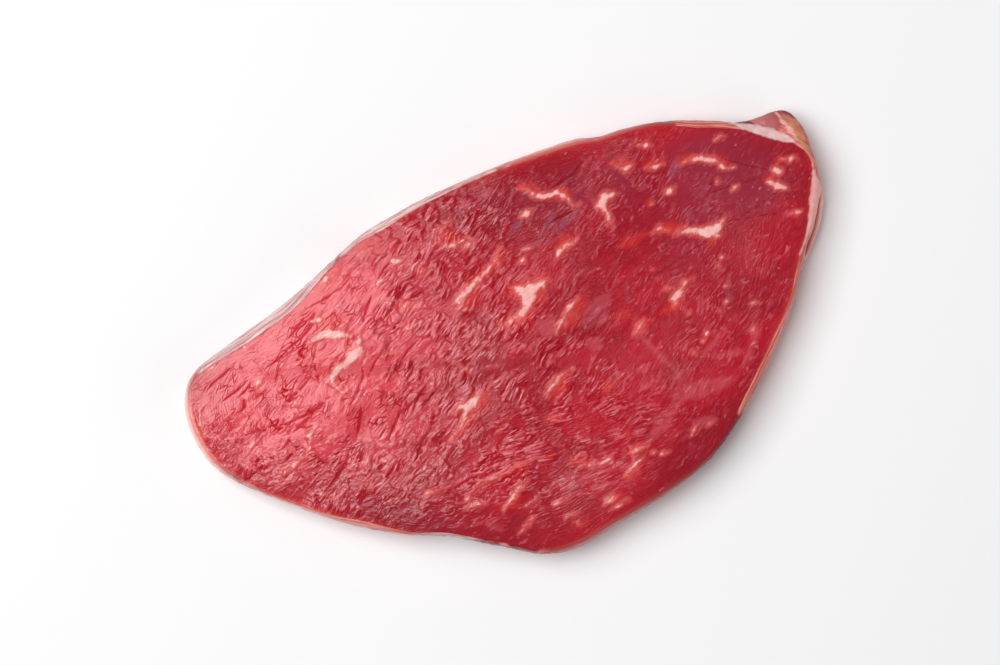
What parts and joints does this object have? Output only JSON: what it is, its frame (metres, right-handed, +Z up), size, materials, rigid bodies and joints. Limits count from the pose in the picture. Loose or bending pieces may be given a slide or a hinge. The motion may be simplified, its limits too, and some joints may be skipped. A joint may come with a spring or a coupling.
{
  "type": "raw beef steak",
  "caption": "Raw beef steak laid flat: a long oval slab of red lean meat with scattered marbling, a thin rim of fat and a small side muscle at the end.",
  "frame": {"origin": "on the surface that the steak lies on, at the middle of its length and width", "axes": "+X along the steak's length towards the end with the side muscle, +Y across it towards its straighter long edge, +Z up out of the cut face that shows"},
  "size_m": [0.2878, 0.161, 0.0228],
  "materials": {
    "raw_beef": "moist raw lean meat, satin to glossy, with white marbling and a thin rim of fat and silver skin"
  },
  "bodies": {
    "root": {"steak": "raw_beef"}
  },
  "joints": []
}
